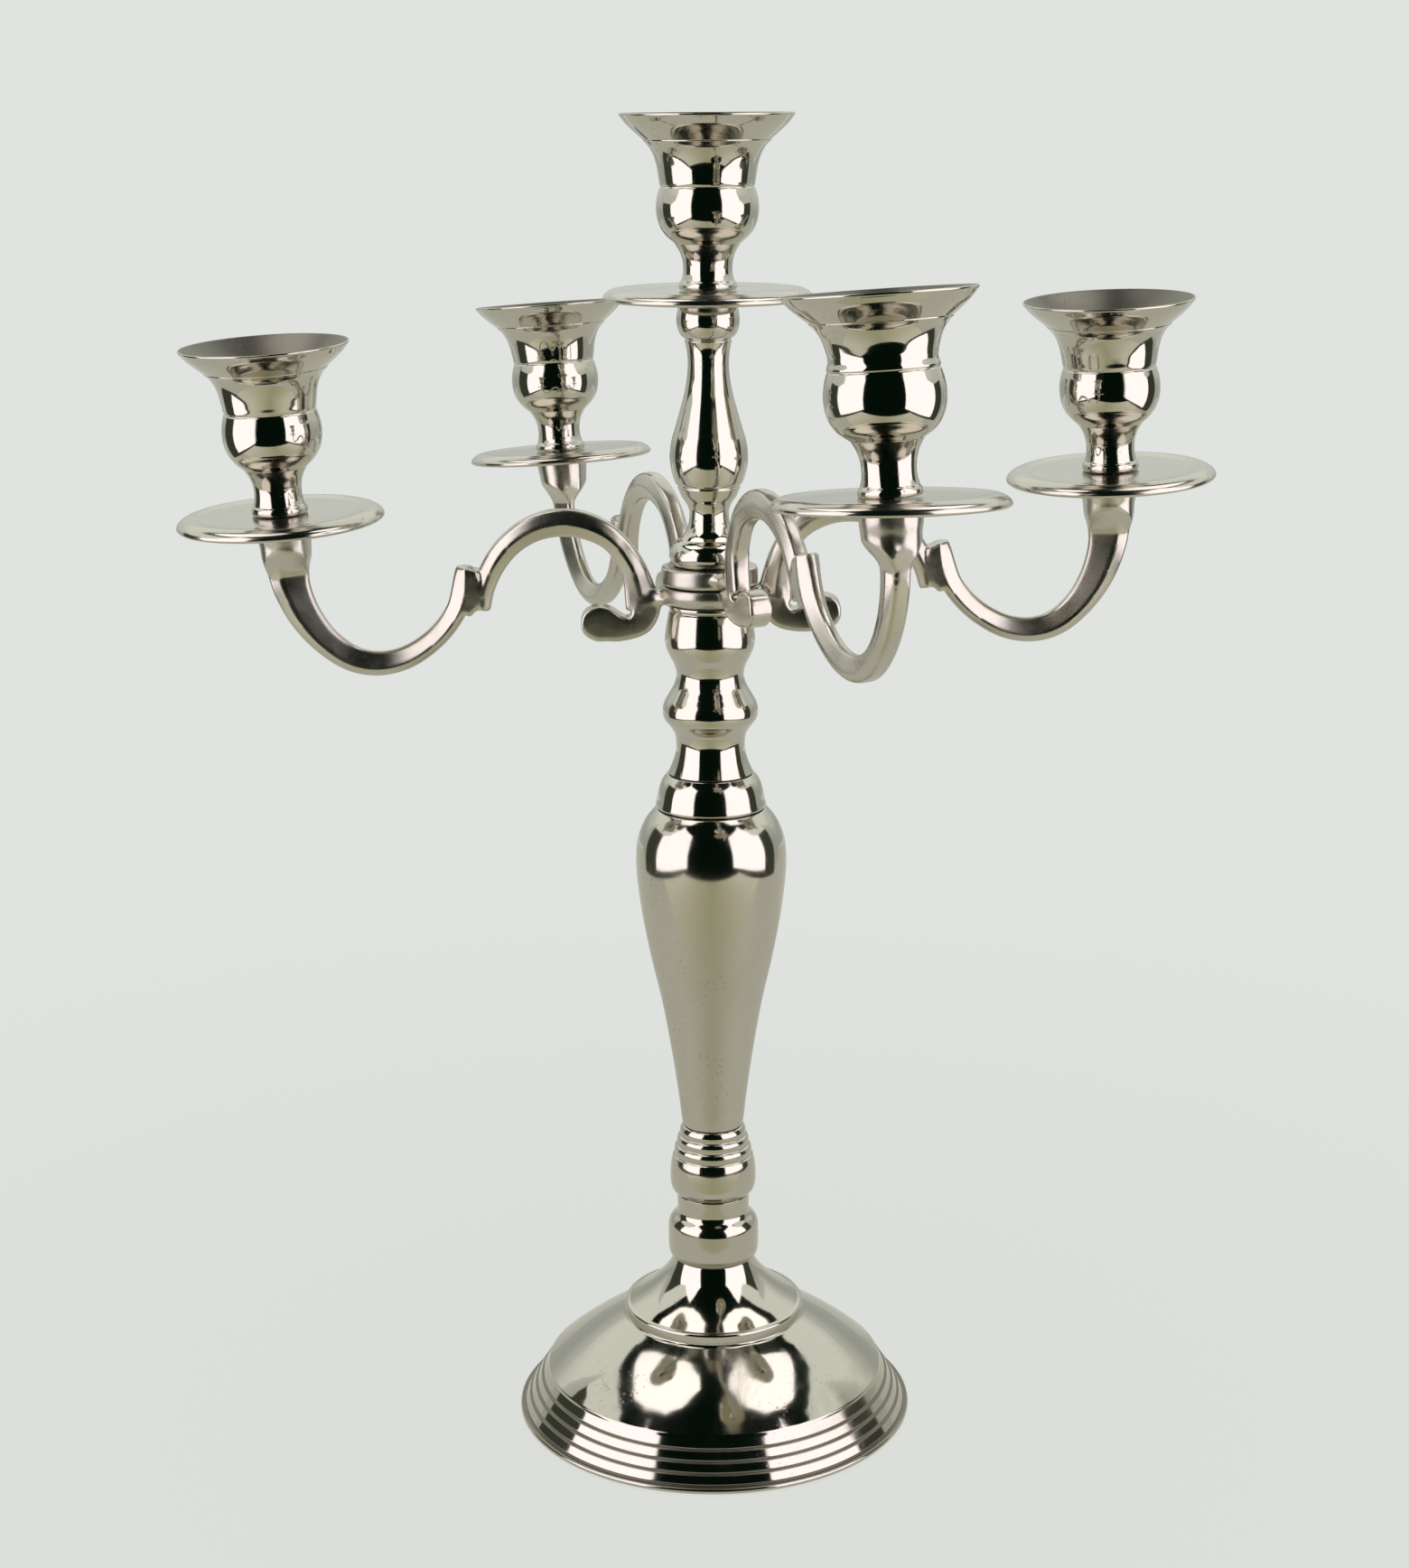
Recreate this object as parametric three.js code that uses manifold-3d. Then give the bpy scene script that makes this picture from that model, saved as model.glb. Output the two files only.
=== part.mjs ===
// Five-light tabletop candelabra, nickel plated cast aluminium, in millimetres.
// +Z is up, the origin is at the centre of the foot on the table, and the stem axis is the Z axis.
// A tie rod holds the foot, the stem pieces, two crossed arm castings and the upper stem together.
// Every candle cup sits on a drip pan and screws onto a short stud.
// Pieces that touch on the real object are drawn FIT_GAP apart.
import * as THREE from "three";
import { mergeVertices } from "three/addons/utils/BufferGeometryUtils.js";
import Module from "manifold-3d";

const FIT_GAP = 0.3;

// Facets round a full turn.
const FOOT_SIDES = 36;
const STEM_SIDES = 20;
const CUP_SIDES = 16;
const HARDWARE_SIDES = 12;

// Fixings.
const ROD_RADIUS = 3.0;
const ROD_HOLE_RADIUS = 3.4;
const ROD_BOTTOM = 18.5;
const ROD_TOP = 284.5;
const ROD_SOCKET_TOP = 285.8;
const STUD_RADIUS = 2.5;
const STUD_HOLE_RADIUS = 2.9;
const STUD_HOLE_DEPTH = 9.0;
const STUD_GRIP = 8.0;
const NUT_ACROSS_FLATS = 10.0;
const NUT_HEIGHT = 5.0;
const WASHER_RADIUS = 9.0;
const WASHER_THICKNESS = 1.4;

// Levels of the joints up the stem.
const FOOT_ROOF = 30.0;
const FOOT_TOP = 50.4;
const KNOB_TOP = 71.6;
const BARREL_TOP = 94.2;
const VASE_TOP = 196.4;
const COLLAR_TOP = 207.0;
const BALUSTER_TOP = 258.6;
const HUB_HEIGHT = 5.5;
const LOWER_HUB = 258.6 + FIT_GAP;
const UPPER_HUB = LOWER_HUB + HUB_HEIGHT + FIT_GAP;
const UPPER_STEM_BOTTOM = UPPER_HUB + HUB_HEIGHT + FIT_GAP;
const UPPER_STEM_TOP = 349.1;

// Hollow foot: [radius, height] down the outside, then the inside of the cast shell back up.
const FOOT_OUTSIDE = [
  [12.6, FOOT_TOP], [13.6, 48.2], [15.0, 45.0], [17.2, 42.0], [20.2, 39.2], [23.6, 37.0],
  [26.6, 35.4], [27.8, 34.6], [27.9, 31.7], [33.5, 28.1], [39.5, 24.2], [45.0, 20.5],
  [48.9, 17.7], [51.4, 15.4],
];
// Four steep sloping bands round the edge, each ending in a narrow ledge.
const FOOT_RING_COUNT = 4;
const FOOT_RING_START = [52.7, 13.9];
const FOOT_RING_STEP = [1.95, 2.95];
const FOOT_RING_SLOPE = [1.5, 2.7];
const FOOT_EDGE = [[60.7, 1.9], [61.7, 1.4], [61.8, 0.7], [61.5, 0]];
const FOOT_INSIDE = [
  [58.6, 0], [57.2, 3.4], [54.0, 7.6], [50.4, 11.4], [46.4, 15.2], [40.0, 19.6],
  [33.0, 24.2], [26.0, 28.4], [21.0, FOOT_ROOF], [ROD_HOLE_RADIUS, FOOT_ROOF],
];

// Outsides of the turned stem pieces, [radius, height] from bottom to top.
const KNOB_OUTSIDE = [
  [13.1, FOOT_TOP + FIT_GAP], [14.05, 53.2], [14.05, 61.2], [13.0, 63.4], [11.4, 65.4],
  [11.2, 67.5], [11.3, KNOB_TOP],
];
const BARREL_OUTSIDE = [
  [11.5, KNOB_TOP + FIT_GAP], [13.2, 74.6], [13.35, 78.0], [12.9, 83.4], [12.2, 84.7],
  [11.9, 85.8], [11.9, 87.0], [11.3, 87.9], [11.1, 88.8], [11.1, 90.2], [10.5, 91.1],
  [10.2, 92.0], [10.2, 93.4], [9.7, BARREL_TOP],
];
const VASE_OUTSIDE = [
  [9.5, BARREL_TOP + FIT_GAP], [10.3, 102.6], [12.6, 118.8], [15.3, 134.4], [18.8, 150.3],
  [21.6, 165.9], [22.8, 176.5], [22.8, 183.0], [21.9, 188.3], [20.2, 192.2],
  [16.9, VASE_TOP],
];
const COLLAR_OUTSIDE = [
  [16.7, VASE_TOP + FIT_GAP], [16.2, 199.4], [15.6, 202.4], [14.6, 205.0], [13.1, COLLAR_TOP],
];
const BALUSTER_OUTSIDE = [
  [13.0, COLLAR_TOP + FIT_GAP], [11.0, 211.8], [10.3, 216.3], [10.9, 219.6], [12.6, 222.4],
  [14.1, 224.9], [14.2, 227.4], [12.9, 230.4], [10.9, 234.4], [10.1, 237.4],
  [10.8, 240.5], [12.6, 244.2], [13.4, 248.0], [12.9, 252.6], [12.1, BALUSTER_TOP],
];
const UPPER_STEM_OUTSIDE = [
  [10.9, UPPER_STEM_BOTTOM], [11.85, 273.4], [11.0, 276.2], [9.0, 278.4], [6.4, 281.4],
  [5.8, 285.4], [6.8, 288.6], [9.4, 294.0], [11.1, 299.3], [11.4, 303.6], [9.9, 310.4],
  [8.1, 317.0], [6.5, 323.6], [6.0, 330.4], [6.9, 336.4], [7.6, 337.2], [9.0, 340.4],
  [9.1, 343.2], [8.6, 346.0], [8.6, UPPER_STEM_TOP],
];

// Drip pan, measured up from its lower edge: flat top, rolled rim, recessed underside.
const PAN_THICKNESS = 3.5;
const PAN_RECESS = 1.9;
const PAN_HOLE_RADIUS = 3.1;
const PAN_PROFILE = [
  [PAN_HOLE_RADIUS, PAN_RECESS], [25.4, PAN_RECESS], [28.6, 0.9], [29.7, 0], [30.4, 0],
  [30.1, 1.5], [28.6, 3.0], [26.4, PAN_THICKNESS], [PAN_HOLE_RADIUS, PAN_THICKNESS],
];
const CENTRE_PAN_EDGE = UPPER_STEM_TOP + FIT_GAP - PAN_RECESS;

// Candle cup, measured up from its foot.
const CUP_HEIGHT = 48.7;
const CUP_OUTSIDE = [
  [8.8, 0], [8.8, 2.4], [7.9, 2.7], [7.0, 5.7], [8.3, 10.2], [11.8, 14.0], [14.3, 18.6],
  [14.8, 22.6], [13.6, 28.2], [14.4, 34.4], [17.0, 39.7], [18.6, 41.3], [25.2, CUP_HEIGHT],
];
const SOCKET_RADIUS = 11.3;
const SOCKET_FLOOR = 16.4;
const CUP_INSIDE = [
  [24.1, CUP_HEIGHT], [17.2, 42.2], [12.9, 38.2], [SOCKET_RADIUS, 35.0],
  [SOCKET_RADIUS, SOCKET_FLOOR], [0, SOCKET_FLOOR],
];
const ARM_CUP_SCALE = 0.98;

// Arm casting. Points are [reach from the stem axis, half depth of the bar, height above the hub].
// Each arm is an arch and a hanging loop that overlap side by side, with a web between them, so that
// the end of each stands out as a thorn. A curled tail with a fat round end hangs under the root.
const BAR_HALF_WIDTH = 3.6;
const RIDGED_SHARE = 0.68;
const FLAT_SHARE = 0.9;
const ARCH = [
  [20.9, 4.3, -4.0], [20.7, 4.6, 1.2], [22.2, 3.9, 9.2], [28.1, 3.7, 18.0], [35.6, 4.0, 22.4],
  [43.0, 4.1, 23.7], [50.6, 4.0, 22.3], [57.9, 3.7, 17.8], [63.4, 3.5, 11.4], [66.6, 3.2, 4.6],
  [67.6, 2.6, -1.4],
];
const LOOP = [
  [72.3, 2.2, 12.0], [73.0, 3.1, 5.6], [75.2, 3.3, -0.8], [79.2, 3.3, -6.4], [85.0, 3.4, -11.2],
  [92.2, 3.5, -14.8], [100.2, 3.7, -15.9], [107.6, 3.9, -14.0], [114.4, 4.3, -8.6],
  [120.0, 5.0, -0.4], [123.2, 5.6, 8.6], [124.0, 7.0, 17.6], [124.5, 7.9, 24.0],
];
const WEB = [[69.4, 1.8, 10.6], [70.1, 3.2, 4.6], [71.4, 2.2, -1.2]];
const TAIL = [
  [18.6, 4.0, -1.0], [19.9, 4.1, -6.0], [23.8, 3.4, -8.9], [28.4, 4.4, -9.0],
  [32.6, 5.4, -7.6], [36.0, 4.4, -7.2], [38.4, 2.2, -7.2],
];
const ROOT = [[9.0, 1.4, -0.4], [14.8, 1.4, -0.4], [17.2, 2.9, -1.0], [21.0, 3.6, -1.6]];
const NOMINAL_REACH = 124.7;
const BOSS_TOP = 29.3;
const BOSS_PROFILE = [
  [0, 15.0], [6.4, 16.4], [7.7, 20.4], [8.3, 24.6], [8.2, 27.4], [7.8, BOSS_TOP], [0, BOSS_TOP],
];
const HUB_RADIUS = 14.4;
const HUB_BELOW = 3.0;
const HUB_EDGE = 0.7;
const CURVE_SPACING = 4.6;

// The two castings as they stand: direction of the first arm, how far each arm reaches,
// and the small droop and lean the arms have taken since they were made (degrees).
const LOWER_ARMS = { heading: 180.0, reach: [124.7, 119.0], rise: -2.7, lean: -2.3, hub: LOWER_HUB };
const UPPER_ARMS = { heading: -68.3, reach: [128.0, 131.0], rise: 4.1, lean: 2.2, hub: UPPER_HUB };

const CAST_NICKEL = { color: 0xc4c0b2, roughness: 0.16, metalness: 1.0 };
const SATIN_NICKEL = { color: 0xb9b39c, roughness: 0.34, metalness: 1.0 };
const STEEL = { color: 0x8d8d90, roughness: 0.42, metalness: 1.0 };

const wasm = await Module();
wasm.setup();

const candelabra = new THREE.Group();
candelabra.name = "candelabra";

function degrees(angle) {
  return (angle * Math.PI) / 180;
}

function addPiece(name, geometry, finish) {
  const mesh = new THREE.Mesh(geometry, new THREE.MeshStandardMaterial(finish));
  mesh.name = name;
  candelabra.add(mesh);
}

// A closed [radius, height] profile turned about +Z. The profile may run either way round.
function turned(profile, sides) {
  let area = 0;
  profile.forEach(([r, z], i) => {
    const [rNext, zNext] = profile[(i + 1) % profile.length];
    area += r * zNext - rNext * z;
  });
  const ordered = area > 0 ? [...profile] : [...profile].reverse();
  const points = ordered.map(([r, z]) => new THREE.Vector2(r, z));
  const onAxis = points.filter((p) => p.x === 0).length > 0;
  if (onAxis) {
    while (points[0].x !== 0 || points[points.length - 1].x !== 0) points.push(points.shift());
  } else {
    points.push(points[0].clone());
  }
  return new THREE.LatheGeometry(points, sides).rotateX(Math.PI / 2);
}

// A turned stem piece with the tie rod's hole through it.
function stemPiece(outside, sides) {
  const bottom = outside[0][1];
  const top = outside[outside.length - 1][1];
  return turned([[ROD_HOLE_RADIUS, bottom], ...outside, [ROD_HOLE_RADIUS, top]], sides);
}

function toSolid(geometry) {
  const bare = geometry.index ? geometry.toNonIndexed() : geometry.clone();
  bare.deleteAttribute("normal");
  bare.deleteAttribute("uv");
  const merged = mergeVertices(bare, 1e-4);
  const mesh = new wasm.Mesh({
    numProp: 3,
    vertProperties: new Float32Array(merged.attributes.position.array),
    triVerts: new Uint32Array(merged.index.array),
  });
  return new wasm.Manifold(mesh);
}

function toGeometry(solid) {
  const mesh = solid.getMesh();
  const geometry = new THREE.BufferGeometry();
  geometry.setAttribute("position", new THREE.BufferAttribute(mesh.vertProperties, 3));
  geometry.setIndex(new THREE.BufferAttribute(mesh.triVerts, 1));
  geometry.computeVertexNormals();
  return geometry;
}

// A bar of six-sided section along a curve in the XZ plane, closed at both ends. Its broad sides
// meet in a ridge when flatShare is small, and are almost flat when it is near 1.
function sweptBar(rows, reachScale, flatShare) {
  const curve = new THREE.CatmullRomCurve3(
    rows.map(([reach, half, height]) => new THREE.Vector3(reach * reachScale, half, height)),
    false,
    "centripetal",
  );
  const steps = Math.max(2, Math.round(curve.getLength() / CURVE_SPACING));
  const corners = [
    [1, -flatShare], [1, flatShare], [0, 1],
    [-1, flatShare], [-1, -flatShare], [0, -1],
  ];
  const positions = [];
  for (let i = 0; i <= steps; i += 1) {
    const at = curve.getPointAt(i / steps);
    const along = curve.getTangentAt(i / steps);
    const length = Math.hypot(along.x, along.z);
    const outX = -along.z / length;
    const outZ = along.x / length;
    corners.forEach(([across, side]) => {
      positions.push(at.x + outX * across * at.y, side * BAR_HALF_WIDTH, at.z + outZ * across * at.y);
    });
  }
  const count = corners.length;
  const faces = [];
  for (let i = 0; i < steps; i += 1) {
    for (let j = 0; j < count; j += 1) {
      const a = i * count + j;
      const b = i * count + ((j + 1) % count);
      faces.push(a, a + count, b, b, a + count, b + count);
    }
  }
  const last = steps * count;
  for (let j = 1; j < count - 1; j += 1) {
    faces.push(0, j, j + 1);
    faces.push(last, last + j + 1, last + j);
  }
  const geometry = new THREE.BufferGeometry();
  geometry.setAttribute("position", new THREE.Float32BufferAttribute(positions, 3));
  geometry.setIndex(faces);
  return geometry;
}

// Where a casting's tilted arm frame stands: used for its arms, pans, cups and studs.
function armFrame(casting) {
  const turn = new THREE.Matrix4().makeRotationZ(degrees(casting.heading));
  const lean = new THREE.Matrix4().makeRotationX(degrees(casting.lean));
  const rise = new THREE.Matrix4().makeRotationY(degrees(-casting.rise));
  const lift = new THREE.Matrix4().makeTranslation(0, 0, casting.hub + HUB_BELOW);
  return lift.multiply(turn).multiply(lean).multiply(rise);
}

// One casting: a level hub ring with an arm on each side and a stud hole in each boss.
function armCasting(casting) {
  const ringProfile = [
    [0, casting.hub], [HUB_RADIUS - HUB_EDGE, casting.hub], [HUB_RADIUS, casting.hub + HUB_EDGE],
    [HUB_RADIUS, casting.hub + HUB_HEIGHT - HUB_EDGE],
    [HUB_RADIUS - HUB_EDGE, casting.hub + HUB_HEIGHT], [0, casting.hub + HUB_HEIGHT],
  ];
  let solid = toSolid(turned(ringProfile, STEM_SIDES));
  const frame = armFrame(casting);
  casting.reach.forEach((reach, side) => {
    const facing = new THREE.Matrix4().makeRotationZ(side * Math.PI);
    const place = frame.clone().multiply(facing);
    const boss = turned(BOSS_PROFILE, CUP_SIDES).translate(reach, 0, 0);
    const scale = reach / NOMINAL_REACH;
    const bars = [
      sweptBar(ROOT, 1, RIDGED_SHARE), sweptBar(TAIL, 1, FLAT_SHARE), sweptBar(WEB, scale, FLAT_SHARE),
      sweptBar(ARCH, scale, RIDGED_SHARE), sweptBar(LOOP, scale, RIDGED_SHARE),
    ];
    [boss, ...bars].forEach((geometry) => {
      solid = solid.add(toSolid(geometry.applyMatrix4(place)));
    });
    const holeProfile = [
      [0, BOSS_TOP - STUD_HOLE_DEPTH], [STUD_HOLE_RADIUS, BOSS_TOP - STUD_HOLE_DEPTH],
      [STUD_HOLE_RADIUS, BOSS_TOP + 1], [0, BOSS_TOP + 1],
    ];
    const hole = turned(holeProfile, HARDWARE_SIDES).translate(reach, 0, 0).applyMatrix4(place);
    solid = solid.subtract(toSolid(hole));
  });
  const boreProfile = [
    [0, casting.hub - 1], [ROD_HOLE_RADIUS, casting.hub - 1],
    [ROD_HOLE_RADIUS, casting.hub + HUB_HEIGHT + 1], [0, casting.hub + HUB_HEIGHT + 1],
  ];
  return toGeometry(solid.subtract(toSolid(turned(boreProfile, STEM_SIDES))));
}

// Pan, cup and stud of one light, with the pan's lower edge at height panEdge of the given frame.
function addLight(prefix, frame, reach, panEdge, cupScale) {
  const seat = panEdge + PAN_RECESS - FIT_GAP;
  const cupFoot = panEdge + PAN_THICKNESS + FIT_GAP;
  const pan = turned(PAN_PROFILE, STEM_SIDES).translate(reach, 0, panEdge);
  addPiece(prefix + "_pan", pan.applyMatrix4(frame), CAST_NICKEL);
  const holeTop = STUD_HOLE_DEPTH / cupScale;
  const cupProfile = [
    ...CUP_OUTSIDE, ...CUP_INSIDE, [0, holeTop],
    [STUD_HOLE_RADIUS / cupScale, holeTop], [STUD_HOLE_RADIUS / cupScale, 0],
  ];
  const cup = openedCup(cupProfile).scale(cupScale, cupScale, cupScale);
  addPiece(prefix + "_cup", cup.translate(reach, 0, cupFoot).applyMatrix4(frame), CAST_NICKEL);
  const studProfile = [
    [0, seat - STUD_GRIP], [STUD_RADIUS, seat - STUD_GRIP],
    [STUD_RADIUS, cupFoot + STUD_GRIP], [0, cupFoot + STUD_GRIP],
  ];
  const stud = turned(studProfile, HARDWARE_SIDES).translate(reach, 0, 0);
  addPiece(prefix + "_stud", stud.applyMatrix4(frame), STEEL);
}

// The cup's profile leaves the axis at the socket floor and comes back to it in the stud hole.
function openedCup(profile) {
  const floor = profile.findIndex(([r]) => r === 0);
  const open = [...profile.slice(floor + 1), ...profile.slice(0, floor + 1)];
  const points = open.map(([r, z]) => new THREE.Vector2(r, z));
  return new THREE.LatheGeometry(points, CUP_SIDES).rotateX(Math.PI / 2);
}

function footProfile() {
  const rings = [];
  for (let i = 0; i < FOOT_RING_COUNT; i += 1) {
    const r = FOOT_RING_START[0] + i * FOOT_RING_STEP[0];
    const z = FOOT_RING_START[1] - i * FOOT_RING_STEP[1];
    rings.push([r, z]);
    rings.push([r + FOOT_RING_SLOPE[0], z - FOOT_RING_SLOPE[1]]);
  }
  return [[ROD_HOLE_RADIUS, FOOT_TOP], ...FOOT_OUTSIDE, ...rings, ...FOOT_EDGE, ...FOOT_INSIDE];
}

addPiece("foot", turned(footProfile(), FOOT_SIDES), CAST_NICKEL);

const washerTop = FOOT_ROOF - FIT_GAP;
const washerBottom = washerTop - WASHER_THICKNESS;
addPiece(
  "foot_washer",
  turned(
    [
      [ROD_HOLE_RADIUS, washerBottom], [WASHER_RADIUS, washerBottom],
      [WASHER_RADIUS, washerTop], [ROD_HOLE_RADIUS, washerTop],
    ],
    HARDWARE_SIDES,
  ),
  STEEL,
);

const nutTop = washerBottom - FIT_GAP;
const nutCorner = NUT_ACROSS_FLATS / Math.sqrt(3);
const nutBody = toSolid(
  turned([[0, nutTop - NUT_HEIGHT], [nutCorner, nutTop - NUT_HEIGHT], [nutCorner, nutTop], [0, nutTop]], 6),
);
const nutBore = toSolid(
  turned(
    [
      [0, nutTop - NUT_HEIGHT - 1], [ROD_HOLE_RADIUS, nutTop - NUT_HEIGHT - 1],
      [ROD_HOLE_RADIUS, nutTop + 1], [0, nutTop + 1],
    ],
    HARDWARE_SIDES,
  ),
);
addPiece("foot_nut", toGeometry(nutBody.subtract(nutBore)), STEEL);

addPiece(
  "tie_rod",
  turned([[0, ROD_BOTTOM], [ROD_RADIUS, ROD_BOTTOM], [ROD_RADIUS, ROD_TOP], [0, ROD_TOP]], HARDWARE_SIDES),
  STEEL,
);

addPiece("stem_knob", stemPiece(KNOB_OUTSIDE, STEM_SIDES), CAST_NICKEL);
addPiece("stem_barrel", stemPiece(BARREL_OUTSIDE, STEM_SIDES), CAST_NICKEL);
addPiece("stem_vase", stemPiece(VASE_OUTSIDE, STEM_SIDES), SATIN_NICKEL);
addPiece("stem_collar", stemPiece(COLLAR_OUTSIDE, STEM_SIDES), CAST_NICKEL);
addPiece("stem_baluster", stemPiece(BALUSTER_OUTSIDE, STEM_SIDES), CAST_NICKEL);

addPiece("lower_arms", armCasting(LOWER_ARMS), CAST_NICKEL);
addPiece("upper_arms", armCasting(UPPER_ARMS), CAST_NICKEL);

// Upper stem: blind hole for the tie rod below and for the centre cup's stud above.
const upperStemProfile = [
  [0, ROD_SOCKET_TOP], [ROD_HOLE_RADIUS, ROD_SOCKET_TOP], [ROD_HOLE_RADIUS, UPPER_STEM_BOTTOM],
  ...UPPER_STEM_OUTSIDE,
  [STUD_HOLE_RADIUS, UPPER_STEM_TOP], [STUD_HOLE_RADIUS, UPPER_STEM_TOP - STUD_HOLE_DEPTH],
  [0, UPPER_STEM_TOP - STUD_HOLE_DEPTH],
];
addPiece(
  "upper_stem",
  new THREE.LatheGeometry(
    upperStemProfile.map(([r, z]) => new THREE.Vector2(r, z)),
    CUP_SIDES,
  ).rotateX(Math.PI / 2),
  CAST_NICKEL,
);

addLight("centre", new THREE.Matrix4(), 0, CENTRE_PAN_EDGE, 1);

const armPanEdge = BOSS_TOP + FIT_GAP - PAN_RECESS;
[
  ["left", LOWER_ARMS, 0],
  ["right", LOWER_ARMS, 1],
  ["front", UPPER_ARMS, 0],
  ["back", UPPER_ARMS, 1],
].forEach(([prefix, casting, side]) => {
  const facing = new THREE.Matrix4().makeRotationZ(side * Math.PI);
  const frame = armFrame(casting).multiply(facing);
  addLight(prefix, frame, casting.reach[side], armPanEdge, ARM_CUP_SCALE);
});

export default candelabra;
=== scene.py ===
"""Looks for the tabletop candelabra: finely turned stem, pans and cups, and swept scroll arms.

Lengths in the tables are millimetres, in the part's frame: +Z up, origin under the foot's centre.
"""
import math

import bpy
from mathutils import Matrix, Vector


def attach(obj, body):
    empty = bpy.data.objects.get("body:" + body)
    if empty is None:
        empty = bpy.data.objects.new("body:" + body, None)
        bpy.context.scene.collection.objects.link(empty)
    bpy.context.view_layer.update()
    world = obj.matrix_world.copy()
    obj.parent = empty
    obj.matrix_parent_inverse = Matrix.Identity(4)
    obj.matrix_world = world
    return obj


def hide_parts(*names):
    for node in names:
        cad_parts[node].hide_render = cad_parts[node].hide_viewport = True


MM = 0.001

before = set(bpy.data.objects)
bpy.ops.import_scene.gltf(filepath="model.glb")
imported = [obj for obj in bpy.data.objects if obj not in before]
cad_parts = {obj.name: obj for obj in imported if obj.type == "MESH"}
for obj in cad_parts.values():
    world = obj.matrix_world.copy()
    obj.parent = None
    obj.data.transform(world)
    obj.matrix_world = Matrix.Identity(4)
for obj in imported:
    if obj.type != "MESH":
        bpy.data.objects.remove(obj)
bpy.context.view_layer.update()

# ---------------------------------------------------------------- shapes

# Fineness of the meshes: sides of a turning, the length of a step along a curve, how far from an
# edge its support point is, and the round on a crisp edge.
TURN_SEGMENTS = 144
CURVE_STEP = 0.7
SUPPORT = 0.18
FILLET = 0.22
FILLET_POINTS = 4
FILLET_SHARE = 0.35
ON_AXIS = 1e-6

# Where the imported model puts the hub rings, their bore and the seats of the lights. HUB_BELOW is
# how far the ring's underside is below the origin of the arms' frame.
BORE = 3.4
HUB_BELOW = 3.0
HUB_HEIGHT = 5.5
FIT_GAP = 0.3
BOSS_TOP = 29.3
PAN_RECESS = 1.9
PAN_THICKNESS = 3.5
CENTRE_PAN_EDGE = 347.5
ARM_PAN_EDGE = BOSS_TOP + FIT_GAP - PAN_RECESS
CUP_SCALE_ON_ARMS = 0.98

# Turned profiles are lists of runs. A run is smooth, and two runs meet at a crisp edge.
FOOT = [
    [(3.4, 30.0), (3.4, 50.4)],
    [(3.4, 50.4), (12.4, 50.4)],
    [(12.4, 50.4), (13.3, 48.2), (14.7, 45.8), (17.1, 43.0), (20.2, 40.1), (23.5, 37.5),
     (26.6, 35.4)],
    [(26.6, 35.4), (27.5, 35.3), (27.9, 34.7)],
    [(27.9, 34.7), (27.7, 31.9)],
    [(27.7, 31.9), (28.4, 31.3)],
    [(28.4, 31.3), (33.5, 28.4), (39.5, 24.7), (45.0, 20.8), (48.6, 18.0), (51.3, 15.75),
     (52.6, 14.65)],
    [(52.6, 14.65), (52.9, 13.75)],
    [(52.9, 13.75), (54.35, 11.25)],
    [(54.35, 11.25), (54.2, 10.95), (54.45, 10.8), (54.85, 10.8)],
    [(54.85, 10.8), (56.3, 8.3)],
    [(56.3, 8.3), (56.15, 8.0), (56.4, 7.85), (56.8, 7.85)],
    [(56.8, 7.85), (58.25, 5.35)],
    [(58.25, 5.35), (58.1, 5.05), (58.35, 4.9), (58.75, 4.9)],
    [(58.75, 4.9), (60.2, 2.4)],
    [(60.2, 2.4), (60.0, 2.05), (60.2, 1.8), (60.6, 1.8)],
    [(60.6, 1.8), (61.3, 1.75), (61.75, 1.3), (61.8, 0.6), (61.3, 0.0)],
    [(61.3, 0.0), (59.0, 0.0)],
    [(59.0, 0.0), (57.6, 3.4), (54.8, 7.2), (50.8, 11.4), (46.4, 15.2), (40.0, 19.6), (33.0, 24.2),
     (26.0, 28.2), (21.0, 30.0)],
    [(21.0, 30.0), (3.4, 30.0)],
]
KNOB = [
    [(3.4, 71.6), (3.4, 50.7)],
    [(3.4, 50.7), (12.9, 50.7)],
    [(12.9, 50.7), (13.7, 51.8), (14.05, 53.4)],
    [(14.05, 53.4), (14.12, 57.2), (14.05, 61.0)],
    [(14.05, 61.0), (13.7, 62.4), (12.8, 63.8), (11.7, 65.0), (11.25, 66.2), (11.2, 68.4),
     (11.3, 71.6)],
    [(11.3, 71.6), (3.4, 71.6)],
]
BARREL = [
    [(3.4, 94.2), (3.4, 71.9)],
    [(3.4, 71.9), (11.4, 71.9)],
    [(11.4, 71.9), (12.6, 73.0), (13.2, 74.8), (13.35, 78.0), (13.1, 81.4), (12.5, 84.2)],
    [(12.5, 84.2), (12.0, 84.5)],
    [(12.0, 84.5), (12.05, 85.6), (11.95, 86.7), (11.6, 87.5)],
    [(11.6, 87.5), (11.0, 87.8)],
    [(11.0, 87.8), (11.15, 88.8), (11.1, 89.8), (10.7, 90.6)],
    [(10.7, 90.6), (10.1, 90.9)],
    [(10.1, 90.9), (10.25, 91.9), (10.15, 92.9), (9.6, 93.9)],
    [(9.6, 93.9), (9.2, 94.2)],
    [(9.2, 94.2), (3.4, 94.2)],
]
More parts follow.
